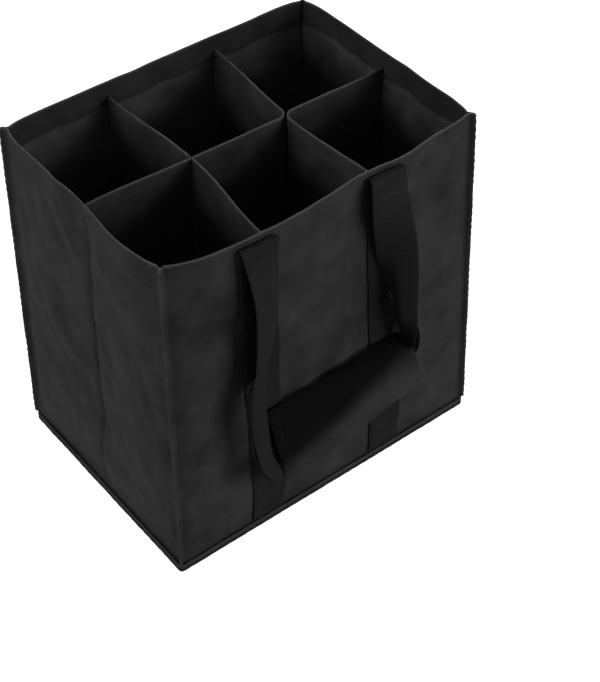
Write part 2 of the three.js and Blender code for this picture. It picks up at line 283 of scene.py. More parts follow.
webbing_finish = Finish("black ribbed webbing", {
    "IOR": 1.45,
    "Specular IOR Level": 0.12,
    "Sheen Weight": 0.03,
})
strap_map, strap_along, strap_across = webbing_finish.cloth_map()
rib_wave = (strap_along * (math.pi / (rib_pitch * MM))).sine()
columns = (strap_across * (math.pi / (warp_column * MM))).sine()
plaiting = rib_wave * columns
strap_fuzz = webbing_finish.noise(strap_map, 900, detail=3)
strap_cloud = webbing_finish.noise(strap_map, 26)
# Painted shade in the gaps between ribs and painted light on their crests, stronger in some
# stretches than in others.
rib_shade_strength = (strap_cloud * 3 - 1.1).clamped()
rib_painted_shade = (rib_wave.size() - mean_rib) * rib_shade_strength * 0.4 + plaiting * 0.05
strap_dye = (rib_painted_shade + strap_fuzz * 0.8 + strap_cloud * 0.4 - 0.18).clamped()
strap_colour = webbing_finish.blend(strap_dye, strap_dark, strap_light)
# Painted shade: the marked leg beside the grip is taken down to the darkest dye.
webbing = webbing_finish.surface(
    Base_Color=webbing_finish.blend(webbing_finish.mark("handled"), strap_colour, strap_dark),
    Roughness=0.6 + strap_fuzz * 0.2,
    Normal=webbing_finish.bump(plaiting * 0.2 + strap_fuzz * 0.5, strength=0.5, distance=0.2),
)

# %% [markdown]
# ## The sewing thread
#
# The seams are sewn with a bonded polyester thread, black like the cloth but smoother, so
# each stitch catches a small point of light. The twist of the thread is a fine diagonal
# line in its bump. Along the straps and the grips it is darker, like what it is sewn into.
# Round the foot and in the patches under the straps' top folds, which rub against
# everything, it is paler.

# %% Sewing thread
def sewing_thread(name, dark, light):
    finish = Finish(name, {"IOR": 1.5, "Specular IOR Level": 0.25})
    twist = finish.node(
        "TexWave",
        {"wave_type": "BANDS", "bands_direction": "DIAGONAL"},
        {"Vector": finish.place(), "Scale": 900, "Distortion": 1.5},
        output="Fac",
    )
    return finish.surface(
        Base_Color=finish.blend(twist, grey(dark), grey(light)),
        Roughness=0.42 + twist * 0.1,
        Normal=finish.bump(twist, strength=0.4, distance=0.1),
    )


thread = sewing_thread("black sewing thread", dark=0.018, light=0.040)
dark_thread = sewing_thread("dark sewing thread", dark=0.005, light=0.014)
rubbed_thread = sewing_thread("rubbed sewing thread", dark=0.022, light=0.046)

# %% [markdown]
# ## One helper for every mesh
#
# Each piece here can be swept: a closed outline, the section, is carried along a path and
# changes as it goes. The walls are outlines of the bag stacked up the outside, over the
# rim and down the inside. A strap is its thin section carried along the handle. A path can
# come back to its start, as the walls' does, or end in two caps. The helper also lays the
# `cloth` map, measured in metres along the path and round the section, and stores any marks
# that it is given for the points.


# %% Turn a mesh into a piece of the scene
def piece_of(mesh, finish):
    mesh.shade_smooth()
    mesh.materials.append(finish)
    mesh.update()
    piece = bpy.data.objects.new(mesh.name, mesh)
    bpy.context.scene.collection.objects.link(piece)
    return piece


# %% Sweep a section along a path
def swept(name, sections, finish, closed=False, **marks):
    points = np.asarray(sections, float)
    stations, size = points.shape[:2]
    steps = stations if closed else stations - 1
    i, j = np.meshgrid(np.arange(steps), np.arange(size), indexing="ij")
    ahead, beside = (i + 1) % stations, (j + 1) % size
    quads = np.stack([
        i * size + j, i * size + beside, ahead * size + beside, ahead * size + j,
    ], axis=-1).reshape(-1, 4)

    ring = np.concatenate([points, points[:1]]) if closed else points
    lengths = np.linalg.norm(np.diff(ring, axis=0), axis=2).mean(axis=1)
    along = np.concatenate([[0], np.cumsum(lengths)]) * MM
    rounds = np.linalg.norm(np.diff(points[:, list(range(size)) + [0]], axis=1), axis=2)
    across = np.concatenate([[0], np.cumsum(rounds.mean(axis=0))]) * MM
    corners = ((0, 0), (0, 1), (1, 1), (1, 0))
    maps = np.stack([
        np.stack([along[i + a], across[j + b]], -1) for a, b in corners
    ], axis=-2).reshape(-1, 4, 2)

    if not closed:
        half = size // 2
        k = np.arange(half - 1)
        start = np.stack([k, k + 1, size - 2 - k, size - 1 - k], axis=-1)
        start_map = np.stack([
            np.stack([0 * across[k] + a * MM, across[k + b]], -1) for a, b in corners
        ], axis=-2)
        end = start[:, ::-1] + (stations - 1) * size
        quads = np.concatenate([quads, start[:, ::-1], end[:, ::-1]])
        maps = np.concatenate([maps, start_map[:, ::-1], start_map])

    flat = points.reshape(-1, 3) * MM
    corner = flat[quads]
    volume = (
        np.cross(corner[:, 1] - corner[:, 0], corner[:, 2] - corner[:, 0])
        * corner[:, 0]
    ).sum()
    if volume < 0:
        quads, maps = quads[:, ::-1], maps[:, ::-1]

    mesh = bpy.data.meshes.new(name)
    mesh.from_pydata(flat.tolist(), [], quads.tolist())
    mesh.uv_layers.new(name="cloth").data.foreach_set("uv", maps.reshape(-1))
    for mark, values in marks.items():
        values = np.broadcast_to(values, points.shape[:2]).astype(float)
        mesh.attributes.new(mark, "FLOAT", "POINT").data.foreach_set("value", values.reshape(-1))
    print(f"{name}: {len(flat)} points, {2 * len(quads)} triangles")
    return piece_of(mesh, finish)


# %% Fit a piece to the frame
def fitted(piece, slot, *nodes):
    """The piece moves with the bag and stands for these solids, which are hidden; the slot is not
    used.
    """
    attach(piece, "root")
    if nodes:
        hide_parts(*nodes)


# %% [markdown]
# ## The shape of the walls
#
# The bag is a tapered box of cloth, a little wider at its foot. Between two corners a wall
# swells outward, and at the corners it is pinched back by the seam. The front wall is
# pulled out most, where the handle's weight hangs on it, and a side wall folds inward down
# its middle, because that is where the empty bag folds flat.
#
# `out` is the distance of a wall's outer face from the middle of the bag. The folds that
# can be seen in the cloth come on top of it: each is a line on the wall, with a width and a
# rise, and random unevenness comes from a small grid of numbers with a fixed seed.

# %% Sizes of the bag
height = 295.0
rim_length, rim_depth = 272.0, 197.2
foot_length, foot_depth = 287.0, 208.4
cloth = 0.7
hem_cloth = 1.4
hem_depth = 22.0
hem_start = height - hem_depth
stitch_from_edge = 2.5
ridge_reach = 4.5
band_height = 7.0
wall_inset = 2.3
side_reach = ridge_reach / math.sqrt(2)
WALLS = ("front", "right", "back", "left")


# %% Easing, unevenness from a seeded grid, and lengths along a line
def between(low, high, share):
    return low + (high - low) * share


def ease(value, low, high):
    share = np.clip((np.asarray(value, float) - low) / (high - low), 0, 1)
    return share * share * (3 - 2 * share)


def uneven(first, second, pitch_first, pitch_second, seed):
    """Smooth random values from -1 to 1, on a grid of that pitch over two directions."""
    table = np.random.default_rng(seed).uniform(-1, 1, (64, 64))
    a = np.asarray(first, float) / pitch_first + 21
    b = np.asarray(second, float) / pitch_second + 21
    a, b = np.broadcast_arrays(a, b)
    i, j = np.floor(a).astype(int), np.floor(b).astype(int)
    p, q = ease(a - i, 0, 1), ease(b - j, 0, 1)
    low = between(table[i % 64, j % 64], table[(i + 1) % 64, j % 64], p)
    high = between(table[i % 64, (j + 1) % 64], table[(i + 1) % 64, (j + 1) % 64], p)
    return between(low, high, q)


def run_along(points):
    """The length walked along a line of points, at each of them."""
    steps = np.linalg.norm(np.diff(points, axis=0), axis=1)
    return np.concatenate([[0], np.cumsum(steps)])


def at_places(places, run, values):
    """Rows of values that are known along a run, at other places on it."""
    return np.stack([np.interp(places, run, column) for column in values.T], -1)


# %% Taper and swelling: where the walls stand out or fold in, from the middle of each
pinch_reach = 8
upright_from = 45
belly_place, belly_left, belly_right, belly_out = -40, 96, 62, 9
right_bulge_place, right_bulge_half, right_bulge_out = 64, 26, 4.8
side_bulge_place, side_bulge_half, side_bulge_out = -52, 34, 3.5
side_fold_place, side_fold_half, side_fold_in = -6, 25, 2.2


def tip_x(z):
    return between(foot_length, rim_length, z / height) / 2


def tip_y(z):
    return between(foot_depth, rim_depth, z / height) / 2


def corner_of(wall, z):
    """Half the wall's width at height z, and its distance from the middle of the bag."""
    x, y = tip_x(z) - side_reach, tip_y(z) - side_reach
    return (x, y) if wall in ("front", "back") else (y, x)


def hump(s, middle, half):
    return np.exp(-(((s - middle) / half) ** 2))


def bow(s, middle, half):
    return np.maximum(0, 1 - ((s - middle) / half) ** 2) ** 0.6


def beside_seam(wall, s, z, reach):
    """0 at the corner seams, and 1 a few times the reach away from them."""
    half_width, _ = corner_of(wall, z)
    return 1 - np.exp(-np.maximum(half_width - wall_inset - np.abs(s), 0) / reach)


def swell(wall, s, z):
    rim_pull = (z / height) ** 1.6
    swelling = side_reach * ease(z, band_height, upright_from)
    if wall == "front":
        belly = np.where(
            s < belly_place, bow(s, belly_place, belly_left), hump(s, belly_place, belly_right),
        )
        bulge = hump(s, right_bulge_place, right_bulge_half)
        swelling = swelling + rim_pull * (belly_out * belly + right_bulge_out * bulge)
    if wall == "left":
        bulge = hump(s, side_bulge_place, side_bulge_half)
        swelling = swelling + rim_pull * side_bulge_out * bulge
    if wall in ("left", "right"):
        present = ease(z, 25, 80) * (1 - ease(z, 240, 286))
        fold_in = np.exp(-np.abs(s - side_fold_place) / side_fold_half)
        swelling = swelling - side_fold_in * present * fold_in
    return beside_seam(wall, s, z, pinch_reach) * swelling


# %% [markdown]
# ## Folds in the walls
#
# Black cloth shows its folds only as soft bands of light, so they have to be where the
# real ones are. On the side wall they are the straight creases of flat folding: one up the
# middle and two that run from it to the lower corner. On the front they are small pulls
# beside the straps. A crease is sharp at its line, a pull is round. The hidden walls get
# folds of the same kinds.

# %% Folds, each from one place on a wall to another, with its width and rise
pulls = {
    "front": [
        ((101, 288), (82, 256), 4.5, 1.1),
        ((91, 284), (74, 262), 4.0, -1.0),
        ((116, 280), (99, 236), 6.0, -0.8),
        ((124, 262), (110, 205), 8.0, 0.7),
        ((-78, 138), (-77, 112), 2.6, 0.9),
        ((-87, 190), (-85, 100), 9.0, -1.0),
        ((-114, 272), (-106, 222), 12.0, -1.3),
        ((-90, 268), (-84, 228), 7.0, 0.9),
        ((12, 288), (9, 232), 5.0, 0.9),
        ((-3, 288), (-8, 236), 6.0, -0.7),
        ((27, 286), (23, 226), 6.0, -0.6),
        ((-30, 250), (-22, 160), 12.0, 0.7),
        ((112, 165), (110, 50), 13.0, 1.4),
        ((92, 150), (94, 60), 9.0, -0.9),
        ((-104, 120), (-98, 36), 14.0, 1.2),
        ((20, 210), (26, 150), 11.0, -0.8),
        ((-10, 110), (20, 40), 12.0, 0.8),
    ],
    "left": [
        ((32, 282), (9, 240), 5.0, 1.3),
        ((44, 276), (24, 236), 6.0, -0.8),
        ((4, 27), (2, 17), 5.0, 1.3),
        ((60, 230), (52, 120), 16.0, 1.0),
        ((-58, 190), (-52, 70), 18.0, 1.1),
        ((-34, 284), (-30, 236), 9.0, 0.8),
        ((78, 260), (72, 190), 7.0, -0.8),
        ((-24, 150), (-20, 60), 9.0, -0.7),
    ],
    "back": [
        ((-96, 286), (-80, 248), 5.0, 1.0),
        ((-84, 286), (-70, 252), 4.5, -0.9),
        ((8, 286), (4, 230), 7.0, 0.8),
        ((-14, 286), (-10, 238), 6.0, -0.7),
        ((96, 150), (98, 60), 13.0, 1.2),
        ((-100, 130), (-104, 50), 14.0, 1.1),
        ((26, 200), (14, 110), 12.0, -0.8),
    ],
    "right": [
        ((-30, 282), (-12, 238), 5.0, 1.2),
        ((-46, 274), (-26, 232), 6.0, -0.8),
        ((50, 200), (56, 90), 16.0, 1.0),
        ((-62, 190), (-54, 80), 17.0, 1.0),
        ((30, 284), (34, 230), 8.0, 0.7),
    ],
}
creases = {
    "front": [],
    "left": [
        ((-9.6, 292), (-7.5, 215), 2.1, -2.8),
        ((-7.5, 236), (-3.3, 72), 1.8, -2.6),
        ((-3.3, 92), (0, 8), 2.0, -2.0),
        ((66, 33), (-4, 89), 2.6, -0.8),
        ((60, 6), (-4, 18), 3.0, -0.9),
    ],
    "back": [],
    "right": [
        ((-4, 288), (-6, 150), 3.0, -1.1),
        ((-6, 156), (0, 12), 3.2, -1.0),
        ((-62, 34), (-2, 92), 2.6, -0.8),
        ((58, 30), (0, 84), 2.6, -0.7),
    ],
}
lumps = ((1.4, 24, 46), (0.9, 12, 17))
seam_fade, foot_fade, hem_stiffness = 6, 14, 0.6


def line_fold(s, z, start, end, width, rise, sharp):
    """How far one fold lifts the cloth at (s, z)."""
    run = np.subtract(end, start).astype(float)
    length = np.hypot(*run)
    from_s, from_z = s - start[0], z - start[1]
    along = (from_s * run[0] + from_z * run[1]) / length**2
    aside = np.abs(from_s * run[1] - from_z * run[0]) / length
    beyond = np.maximum(np.maximum(-along, along - 1), 0) * length
    distance = np.hypot(aside, beyond)
    profile = np.exp(-distance / width) if sharp else np.exp(-((distance / width) ** 2))
    fade = ease(along, -0.1, 0.25) * (1 - ease(along, 0.75, 1.1))
    return rise * profile * fade


def relief(wall, s, z):
    """All of a wall's folds and its unevenness, flat at its seams and softer in its hem."""
    s, z = np.broadcast_arrays(np.asarray(s, float), np.asarray(z, float))
    lift = 0
    for fold_line in pulls[wall]:
        lift = lift + line_fold(s, z, *fold_line, sharp=False)
    for fold_line in creases[wall]:
        lift = lift + line_fold(s, z, *fold_line, sharp=True)
    seed = 11 * (WALLS.index(wall) + 1)
    for k, (rise, pitch_along, pitch_up) in enumerate(lumps):
        lift = lift + rise * uneven(s, z, pitch_along, pitch_up, seed + k)
    above_foot = ease(z, band_height, band_height + foot_fade)
    in_hem = 1 - hem_stiffness * ease(z, hem_start, height)
    return lift * beside_seam(wall, s, z, seam_fade) * above_foot * in_hem


def out(wall, s, z):
    """The distance of the wall's outer face from the middle of the bag."""
    _, flat = corner_of(wall, z)
    return flat + swell(wall, s, z) + relief(wall, s, z)


def wall_cloth(z):
    """The cloth is doubled where the hem is turned in."""
    return between(cloth, hem_cloth, ease(z, hem_start - 0.5, hem_start + 0.6))


def on_wall(wall, s, distance, z):
    """The point at s along a wall, at a distance from the middle of the bag, at height z."""
    s, distance, z = np.broadcast_arrays(s, distance, z)
    return {
        "front": np.stack([s, -distance, z], -1),
        "right": np.stack([distance, s, z], -1),
        "back": np.stack([-s, distance, z], -1),
        "left": np.stack([-distance, -s, z], -1),
    }[wall]


def seen(wall, s):
    """The walls are walked one way round, with s in mm, but folds are placed by x or y."""
    return s if wall in ("front", "right") else -s


probe = np.linspace(-120, 120, 7)
print("front wall stands out at the rim:", np.round(out("front", probe, height) - tip_y(height), 1))

# %% [markdown]
# ## The walls as one shell
#
# The four walls and the ridges of their corner seams are one skin, so they are made as one:
# an outline that walks round the bag, stacked up the outside, over the rim and down the
# inside. At each corner the outline runs out along the diagonal and back again, which makes
# the standing ridge of two cloth edges sewn together. Columns crowd beside the ridges,
# where the cloth bends most, and on a side wall also at its middle crease. Rows crowd at
# the hem.

# %% Rows and columns of the shell
row_heights = np.concatenate([
    np.linspace(0.4, 10, 6), np.linspace(13, 266, 78), np.linspace(268.5, 291.5, 17),
])
rim_rows = [(293.4, 0.0), (294.5, 0.12), (295.0, 0.34), (295.0, 0.66), (294.5, 0.88), (293.4, 1.0)]
columns_per_wall = {"front": 92, "back": 92, "right": 84, "left": 84}
ridge_outline = [
    (-0.7, -1.2), (0.6, -0.8), (1.9, -0.8), (3.2, -0.9), (4.1, -0.75), (4.5, -0.3),
    (4.5, 0.3), (4.1, 0.75), (3.2, 0.9), (1.9, 0.8), (0.6, 0.8), (-0.7, 1.2),
]
corner_signs = {"front": (1, -1), "right": (1, 1), "back": (-1, 1), "left": (-1, -1)}


def wall_row(wall, z, depth):
    """Points along a wall, at a share of the cloth's thickness below its outer face."""
    half_width, _ = corner_of(wall, z)
    even = np.linspace(-1, 1, columns_per_wall[wall])
    if wall in ("left", "right"):
        across = 0.45 * even + 1.3 * even**3 - 0.75 * even**5
    else:
        across = 1.2 * even - 0.2 * even**3
    thick = wall_cloth(z)
    s = across * (half_width - wall_inset)
    face = out(wall, seen(wall, s), z)
    inward = across * (half_width - wall_inset - thick * depth)
    return on_wall(wall, inward, face - thick * depth, z)


def ridge_row(wall, z, depth):
    """The corner seam that follows a wall: a ridge outside, a plain corner inside."""
    sign_x, sign_y = corner_signs[wall]
    half_x, half_y = corner_of("front", z)
    standing = ease(z, band_height - 0.2, band_height + 2.5)
    wave = 1 + 0.05 * np.sin(z * 0.9) + 0.04 * uneven(z, 0, 14, 1, 5)
    lean = 0.5 * uneven(z, 7 * sign_x + 3 * sign_y, 40, 1, 6)
    turn = -sign_x * sign_y
    thick = wall_cloth(z)
    points = []
    for k, (reach, half) in enumerate(ridge_outline):
        proud = reach * wave if reach > 0 else reach
        proud = between(min(proud, -0.5), proud, standing)
        inner_turn = 2 * k / (len(ridge_outline) - 1) - 1
        inside = -(1.1 - 0.5 * (1 - inner_turn**2)) - thick * 0.9
        d = between(proud, inside, depth) / math.sqrt(2)
        p = between(half + lean * max(reach, 0) / ridge_reach, 1.5 * inner_turn, depth)
        p = turn * p / math.sqrt(2)
        points.append((
            sign_x * (half_x + d) + sign_x * p,
            sign_y * (half_y + d) - sign_y * p,
            z + 0.35 * (depth < 0.5) * ease(z, 294, height) * max(reach, 0) / ridge_reach,
        ))
    return np.array(points)


def shell_row(z, depth):
    return np.concatenate([
        part for wall in WALLS for part in (wall_row(wall, z, depth), ridge_row(wall, z, depth))
    ])


outside = [(z, 0.0) for z in row_heights]
inside = [(z, 1.0) for z in row_heights[::-1]]
shell_rows = outside + rim_rows + inside
walls_sections = np.array([shell_row(z, depth) for z, depth in shell_rows])
print("shell grid:", walls_sections.shape)

# %% Marks of the shell: painted highlight on the rim and ridges, painted light on the inside faces, and a darker inside of the hem
z_of_row = np.array([z for z, _ in shell_rows])
depth_of_row = np.array([depth for _, depth in shell_rows])
# Painted highlight: lighter colour along the rim and, faintly on the outside, along the corner
# ridges.
rim_highlight = ease(z_of_row, 293.9, 294.9)
ridge_highlight = np.concatenate([
    np.concatenate([
        np.zeros(columns_per_wall[wall]),
        [ease(reach, 2.6, 4.3) for reach, _ in ridge_outline],
    ])
    for wall in WALLS
])
outside_rows = (depth_of_row < 0.5)[:, None] * (z_of_row > band_height)[:, None]
walls_fold = np.maximum(rim_highlight[:, None], 0.25 * ridge_highlight[None, :] * outside_rows)
below_hem = 1 - ease(z_of_row, hem_start - 1, hem_start + 1)
on_the_inside = ease(depth_of_row, 0.6, 0.9)
# Painted light on the inside faces below the hem.
walls_inner = (on_the_inside * below_hem)[:, None]
# The inside of the hem, below the rim, is painted darker.
walls_handled = (0.33 * on_the_inside * (1 - below_hem) * (1 - rim_highlight))[:, None]
fitted(
    swept(
        "bag_walls", walls_sections, bag_cloth, closed=True,
        fold=walls_fold, inner=walls_inner, handled=walls_handled,
    ),
    "fabric",
    "front_panel", "back_panel", "left_panel", "right_panel",
    "corner_seam_front_left", "corner_seam_front_right",
    "corner_seam_back_left", "corner_seam_back_right",
)

# %% [markdown]
# ## The foot: a sewn band and a stiff board
#
# Round the foot, the walls and the base are sewn together through a folded band. The
# needle pulls a groove into it, so it shows as two soft rolls. Their crests carry a painted
# highlight, and painted shade darkens the groove and the bottom of the lower roll.
# Inside lies a stiff board that is covered in the same cloth, and that is what the bottles
# stand on.

# %% The band round the foot
band_outline = [
    (0.0, 0.0), (1.3, 0.0), (1.9, 0.25), (2.2, 0.9), (2.25, 1.8), (2.1, 2.6), (1.6, 3.2),
    (1.45, 3.5), (1.6, 3.8), (2.15, 4.4), (2.3, 5.2), (2.15, 6.1), (1.7, 6.7), (1.0, 7.0),
    (0.4, 6.9), (0.0, 6.6),
]
band_corner = 1.0
band_clearance = 0.35
band_step = 2.5
groove_height, groove_reach = 3.5, 1.5


def band_path():
    """Points and outward ways round the foot, with small round corners."""
    half_x = corner_of("front", 0)[0] + band_clearance - band_corner
    half_y = corner_of("left", 0)[0] + band_clearance - band_corner
    corners = [(1, 1), (-1, 1), (-1, -1), (1, -1)]
    points, ways = [], []
    for quarter, (sign_x, sign_y) in enumerate(corners):
        for step in range(7):
            angle = (quarter + step / 6) * math.pi / 2
            way = np.array([math.cos(angle), math.sin(angle)])
            points.append(np.array([sign_x * half_x, sign_y * half_y]) + band_corner * way)
            ways.append(way)
        start, way = points[-1], ways[-1]
        next_x, next_y = corners[(quarter + 1) % 4]
        finish = np.array([next_x * half_x, next_y * half_y]) + band_corner * way
        count = round(np.linalg.norm(finish - start) / band_step)
        for step in range(1, count):
            points.append(between(start, finish, step / count))
            ways.append(way)
    return np.array(points), np.array(ways)


band_points, band_ways = band_path()
band_loop = np.concatenate([band_points, band_points[:1]])
band_sections = []
for point, way, run in zip(band_points, band_ways, run_along(band_loop)[1:]):
    pucker = 1 + 0.05 * math.sin(run * 1.8) + 0.07 * float(uneven(run, 0, 11, 1, 31))
    band_sections.append([(*(point + way * reach * pucker), z) for reach, z in band_outline])
# Painted highlight on the crests of the rolls; painted shade in the groove and at the bottom of the
# lower roll.
band_fold = [ease(abs(z - groove_height), 1.0, 2.4) * (reach > 2) for reach, z in band_outline]
band_shade = [
    max(0.8 * hump(z, groove_height, 0.6), 0.75 * (1 - ease(z, 2.4, 3.4)))
    for _, z in band_outline
]
fitted(
    swept(
        "foot_band", band_sections, bag_cloth, closed=True,
        fold=0.3 * np.array(band_fold), handled=np.array(band_shade),
    ),
    "fabric", "base_seam",
)

# %% The covered board, as rings from the middle of its underside to the middle of its top
board_gap = 0.5
board_x = corner_of("front", 0)[0] - board_gap
board_y = corner_of("left", 0)[0] - board_gap
board_rings = [
    (0.02, 0.3), (0.3, 0.25), (0.6, 0.15), (0.85, 0.05), (0.97, 0.0), (0.99, 0.0),
    (1.0, 0.6), (1.0, 1.8), (0.99, 2.35), (0.97, 2.5), (0.85, 2.45), (0.6, 2.4), (0.3, 2.4),
    (0.02, 2.4),
]
ring_angles = np.linspace(0, 2 * math.pi, 240, endpoint=False)


def rounded_square(angle):
    """A point on a square from -1 to 1 with hardly rounded corners."""
    c, s = np.cos(angle), np.sin(angle)
    power = 900
    size = (np.abs(c) ** power + np.abs(s) ** power) ** (1 / power)
    return c / size, s / size


ring_x, ring_y = rounded_square(ring_angles)
board_sections = [
    np.stack([ring_x * board_x * share, ring_y * board_y * share, 0 * ring_x + z], -1)
    for share, z in board_rings
]
fitted(swept("base_board", board_sections, bag_cloth), "fabric", "base_panel")

# %% [markdown]
# ## The dividers
#
# Two long strips make the middle row of walls. Each is sewn to a side wall, runs to the
# middle, turns a soft corner against the other one and ends on a long wall. Two short
# strips close off the compartments on the left. A strip is a sheet with its upper edge
# turned down and sewn, so it is thicker in its top 12 mm, and its long free faces wave a
# little because nothing holds them between the seams.

# %% Routes of the dividers, seen from above
divider_top = height - 13
divider_hem = divider_top - 12
divider_stitch = divider_hem + stitch_from_edge
divider_foot = 2.8
turn_radius = 8.0
turn_offset = turn_radius + 1.35
sewn_in = 0.15


def divider_cloth(z):
    return between(cloth, hem_cloth, ease(z, divider_hem - 0.5, divider_hem + 0.6))


def inner_face(wall, place, z):
    return float(out(wall, place, z) - wall_cloth(z)) + sewn_in


def eased_run(start, end, count):
    """Points from start to end that leave and arrive square to the walls."""
    share = np.linspace(0, 1, count)
    soft = share * share * (3 - 2 * share)
    (x0, y0), (x1, y1) = start, end
    along_x = abs(x1 - x0) > abs(y1 - y0)
    x = between(x0, x1, share if along_x else soft)
    y = between(y0, y1, soft if along_x else share)
    return np.stack([x, y], -1)


def turning_route(start, end, middle, side):
    centre = np.array(middle) + np.array([-1, 1]) * side * turn_offset / math.sqrt(2)
    angles = np.linspace(-math.pi / 2, 0, 13)
    arc = centre + side * turn_radius * np.stack([np.cos(angles), np.sin(angles)], -1)
    return np.concatenate([
        eased_run(start, arc[0], 62)[:-1], arc, eased_run(arc[-1], end, 34)[1:],
    ])


def meeting(up):
    """Where the two long strips meet, from their feet at 0 up to the rim at 1."""
    return between(46.5, 41, up), between(0, -0.5, up)


def left_route(z):
    up = z / height
    y = between(0, 3, up)
    x = between(47, 50, up)
    start = (-inner_face("left", y, z), y)
    return turning_route(start, (x, inner_face("back", x, z)), meeting(up), 1)


def right_route(z):
    up = z / height
    y = between(0, 0.5, up)
    x = between(46.5, 44.5, up)
    start = (inner_face("right", y, z), y)
    return turning_route(start, (x, -inner_face("front", x, z)), meeting(up), -1)


def short_route(z, side):
    up = z / height
    x = between(-46.5, -41, up)
    strip = left_route(z)
    y = float(np.interp(x, strip[:, 0], strip[:, 1]))
    wall = "back" if side > 0 else "front"
    far_x = between(-47, -46, up) if side > 0 else between(-47, -53, up)
    start = (x, y + side * (divider_cloth(z) + 0.1))
    return eased_run(start, (far_x, side * inner_face(wall, far_x, z)), 36)


# %% A divider as a sheet with a turned upper edge
divider_rows = np.concatenate([
    np.linspace(divider_foot, 262, 40), np.linspace(265, divider_top - 2, 9),
])
edge_rows = [(divider_top - 1.0, 1.0), (divider_top - 0.25, 0.75), (divider_top, 0.3)]


def sheet_divider(name, route, node, seed, wave_height):
    heights = list(divider_rows) + [z for z, _ in edge_rows]
    fullness = [1.0] * len(divider_rows) + [share for _, share in edge_rows]
    plans = np.array([route(z) for z in heights])
    ways = np.gradient(plans, axis=1)
    ways /= np.linalg.norm(ways, axis=2, keepdims=True)
    aside = np.stack([-ways[..., 1], ways[..., 0]], -1)
    run = run_along(plans[-1])
    held = ease(run, 0, 22) * (1 - ease(run, run[-1] - 22, run[-1]))
    upper = np.array(heights)[:, None]
    wave = wave_height * (
        uneven(run[None, :], upper, 34, 70, seed)
        + 0.35 * uneven(run[None, :], upper, 11, 22, seed + 1)
    )
    loose = held * (1 - 0.75 * ease(upper, 235, divider_top))
    plans = plans + aside * (wave * loose)[..., None]
    rise = 0.7 * uneven(run, 0, 30, 1, seed + 2) * held
    z = upper + rise[None, :] * ease(upper, 180, divider_top)
    half = np.array([divider_cloth(h) for h in heights]) * fullness / 2
    half = half - 0.12 * hump(np.array(heights), divider_stitch, 1.5)
    faces = []
    for face in (1, -1):
        shifted = plans + face * aside * half[:, None, None]
        faces.append(np.concatenate([shifted, z[..., None]], -1))
    loop = np.concatenate([faces[0], faces[1][::-1]])
    # Painted highlight along the turned top edge.
    fold = ease(np.array(heights), divider_top - 1.9, divider_top - 0.1)
    fold = np.concatenate([fold, fold[::-1]])
    sections = loop.transpose(1, 0, 2)
    # The divider faces are painted a little paler: painted light.
    piece = swept(name, sections, bag_cloth, fold=fold[None, :], inner=0.1)
    fitted(piece, "fabric", node)
    return faces


dividers = [
    sheet_divider("divider_strip_left", left_route, "divider_left_to_back", 41, 1.0),
    sheet_divider("divider_strip_right", right_route, "divider_right_to_front", 47, 1.0),
    sheet_divider(
        "divider_short_back", lambda z: short_route(z, 1), "cross_divider_back", 53, 0.9,
    ),
    sheet_divider(
        "divider_short_front", lambda z: short_route(z, -1), "cross_divider_front", 59, 0.9,
    ),
]

# %% [markdown]
# ## The handles
#
# One length of webbing makes each handle. It is sewn up the wall, turns outward over a
# fold just under the rim, hangs down freely, is folded in half lengthwise inside the grip,
# and goes back up to the second fold and down the wall again. The free part hangs forward
# and to the side under the weight of the grip, and it twists on its way, because the grip
# lies flatter than the wall.
#
# The path is drawn through stops. Each stop says where the middle of the webbing is, which
# way its inner face looks, and by how many degrees it is folded in half. Places are given
# as x along the wall, the distance out from the line of the corner ridges, and the height.

# %% Sizes and frames of the handle
webbing_width = 30.0
webbing_half = 0.75
top_fold_radius = 2.4
top_fold_height = 288.0
strap_lift = 0.15
grip_start, grip_end = -64.0, 61.0
row_step = 0.6


def to_front(p):
    return np.stack([p[..., 0], -(tip_y(p[..., 2]) + p[..., 1]), p[..., 2]], -1)


def to_back(p):
    return np.stack([-p[..., 0], tip_y(p[..., 2]) + p[..., 1], p[..., 2]], -1)


def way_to_front(v):
    return v * np.array([1, -1, 1])


def way_to_back(v):
    return v * np.array([-1, 1, 1])


def unit(v):
    return v / np.maximum(np.linalg.norm(v, axis=-1, keepdims=True), 1e-9)


# Each side: its wall, which way x runs there, how points and ways get there, and a seed.
SIDES = (
    ("front", 1, to_front, way_to_front, 71),
    ("back", -1, to_back, way_to_back, 79),
)


# %% Where the grip lies
def grip_share(x):
    return (np.asarray(x, float) - grip_start) / (grip_end - grip_start)


def grip_upper(x):
    share = grip_share(x)
    return np.stack([x + 0 * share, between(7.5, 6, share), between(128, 134, share)], -1)


def grip_lower(x):
    share = grip_share(x)
    return np.stack([x + 0 * share, between(30, 40, share), between(68, 112, share)], -1)


def grip_down(x):
    return unit(grip_lower(x) - grip_upper(x))


def folded_edge(x):
    share = between(0.66, 0.2, grip_share(x))
    return between(grip_upper(x), grip_lower(x), np.asarray(share)[..., None])


# %% The stops of the free webbing
def left_strap(z):
    return between(-58, -66, z / height)


def right_strap(z):
    return between(57, 47, z / height)


